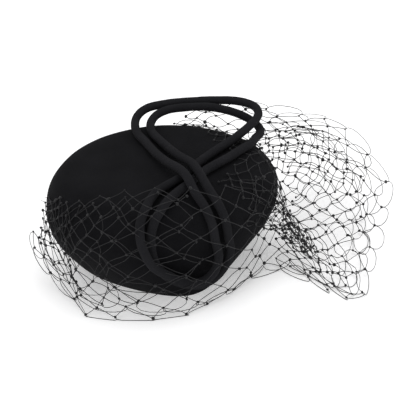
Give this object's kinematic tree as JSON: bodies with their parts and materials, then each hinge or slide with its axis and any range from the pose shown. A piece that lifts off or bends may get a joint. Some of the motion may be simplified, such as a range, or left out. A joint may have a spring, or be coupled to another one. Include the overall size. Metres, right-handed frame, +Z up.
{
  "type": "pillbox hat",
  "caption": "Tapered felt pillbox hat, open underneath, with a figure-of-eight bow of felt tubes and a knotted net veil.",
  "frame": {"origin": "middle of the head opening, on the surface that the rim rests on", "axes": "+Z up out of the top of the crown, -Y towards the front tip of the hat, +X towards the side where the veil fans out"},
  "size_m": [0.3133, 0.1991, 0.1069],
  "materials": {
    "crown_felt": "matte black blocked wool felt with a fine nap",
    "rouleau_felt": "matte black felt tubing, slightly smoother than the crown",
    "veil_net": "stiff black knotted millinery net, slightly shiny thread"
  },
  "bodies": {
    "root": {"felt_crown": "crown_felt", "long_rouleau": "rouleau_felt", "short_rouleau": "rouleau_felt", "net_veil": "veil_net"}
  },
  "joints": []
}
